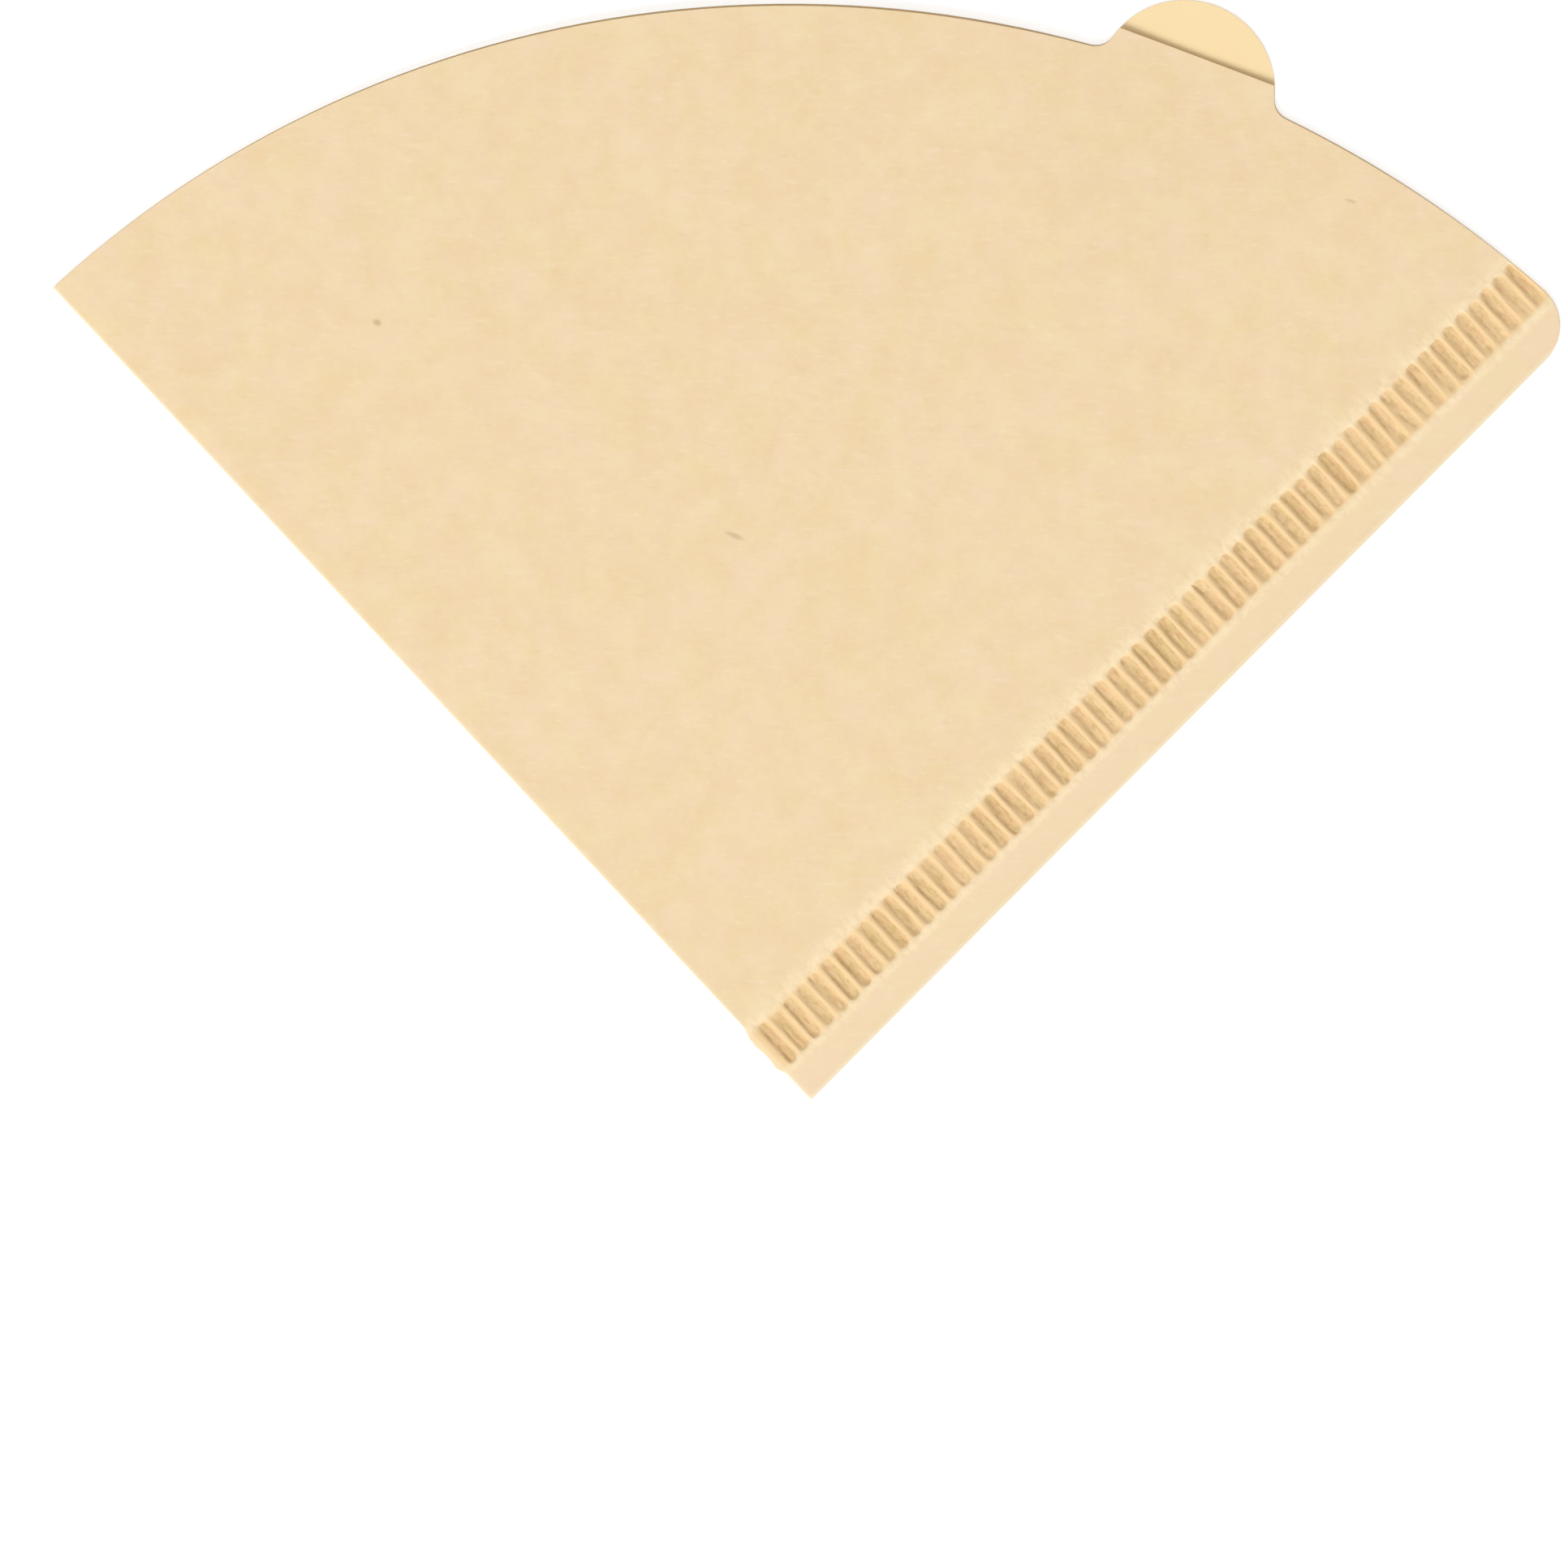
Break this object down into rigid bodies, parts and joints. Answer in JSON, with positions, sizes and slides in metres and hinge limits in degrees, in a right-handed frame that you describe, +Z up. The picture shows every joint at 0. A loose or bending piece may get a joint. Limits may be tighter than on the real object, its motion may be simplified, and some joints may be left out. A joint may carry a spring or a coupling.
{
  "type": "paper coffee filter",
  "caption": "Flat-folded cone filter of unbleached paper, with a crimped seam, an open curved mouth and a round pull tab.",
  "frame": {"origin": "centre of the outside box, on the surface that the filter lies on", "axes": "+Z up off that surface, +Y from the tip to the mouth along the filter's middle line, +X from the folded side to the crimped side"},
  "size_m": [0.16, 0.1194, 0.0015],
  "materials": {
    "filter_paper": "matt, lightly creped and fibrous, unbleached"
  },
  "bodies": {
    "root": {"folded_filter": "filter_paper"}
  },
  "joints": []
}
